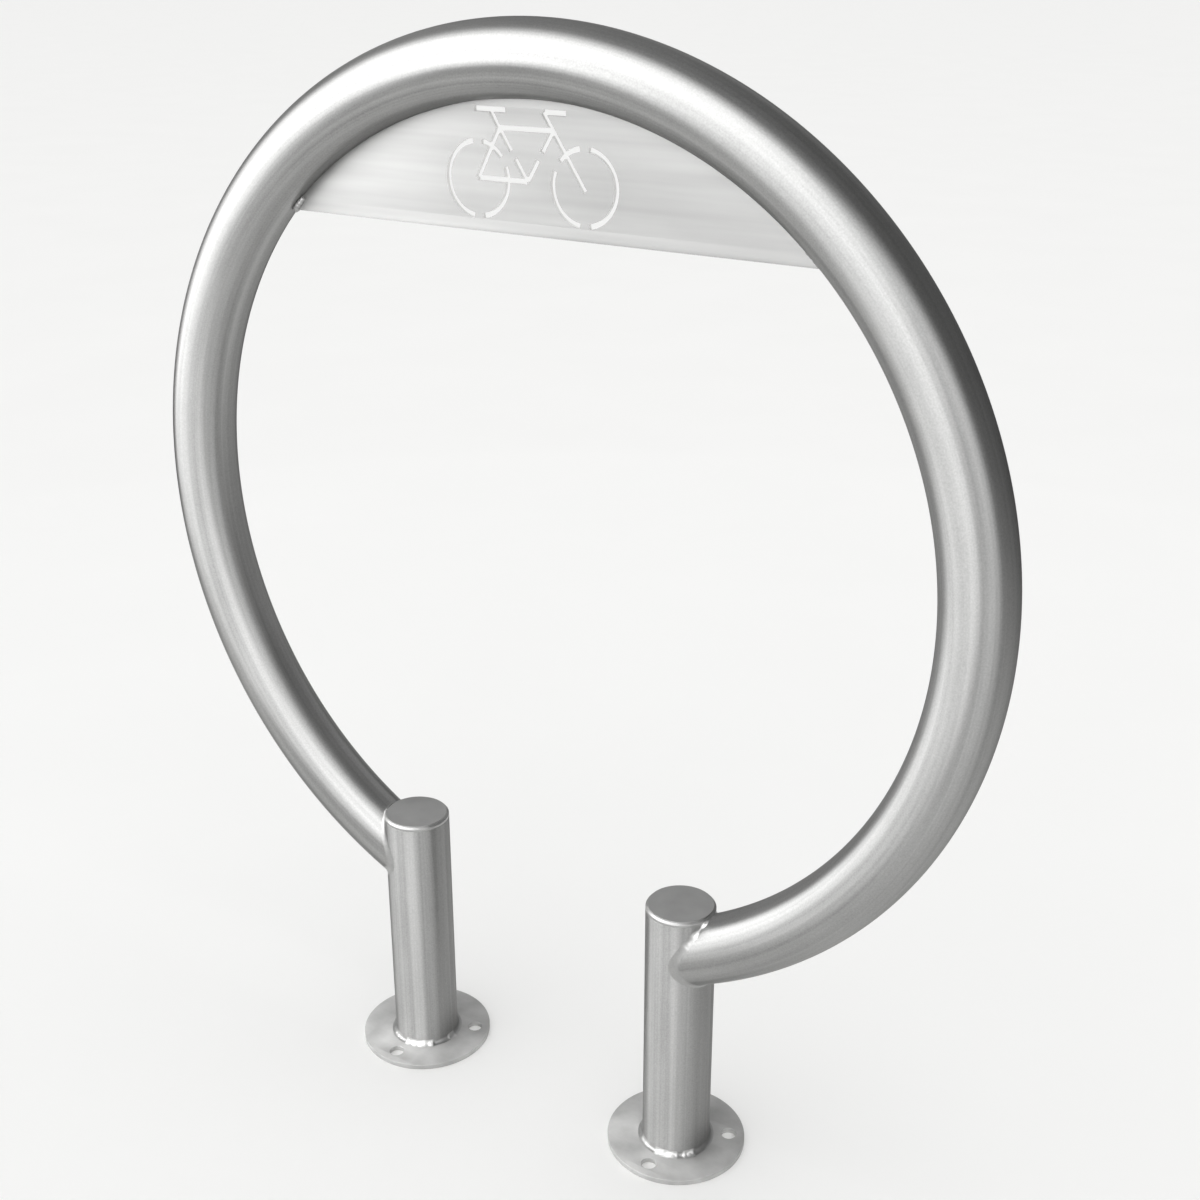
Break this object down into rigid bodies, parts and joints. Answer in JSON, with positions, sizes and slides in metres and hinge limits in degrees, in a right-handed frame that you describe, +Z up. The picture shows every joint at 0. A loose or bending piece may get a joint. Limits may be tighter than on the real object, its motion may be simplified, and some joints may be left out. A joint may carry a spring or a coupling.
{
  "type": "hoop bike rack",
  "caption": "Bicycle parking hoop: a round loop of satin stainless tube on short capped posts with bolt-down flanges, and a segment plate at its top with a cut-out bicycle.",
  "frame": {"origin": "on the ground under the flanges, midway between the two posts", "axes": "+Z up, +X from the left post to the right post in the plane of the loop, -Y towards the viewer of the sign plate's front"},
  "size_m": [0.85, 0.13, 1],
  "materials": {
    "satin_tube": "satin, fine grain along the tube",
    "brushed_plate": "brushed parallel to the plate's straight edge",
    "satin_cap": "satin, flat ground",
    "satin_flange": "satin",
    "weld": "bright, lightly ground weld bead"
  },
  "bodies": {
    "root": {"hoop_tube": "satin_tube", "sign_plate": "brushed_plate", "left_post": "satin_tube", "right_post": "satin_tube", "left_cap": "satin_cap", "right_cap": "satin_cap", "left_flange": "satin_flange", "right_flange": "satin_flange", "left_cap_weld": "weld", "right_cap_weld": "weld", "left_foot_weld": "weld", "right_foot_weld": "weld", "left_saddle_weld": "weld", "right_saddle_weld": "weld", "left_plate_weld": "weld", "right_plate_weld": "weld"}
  },
  "joints": []
}
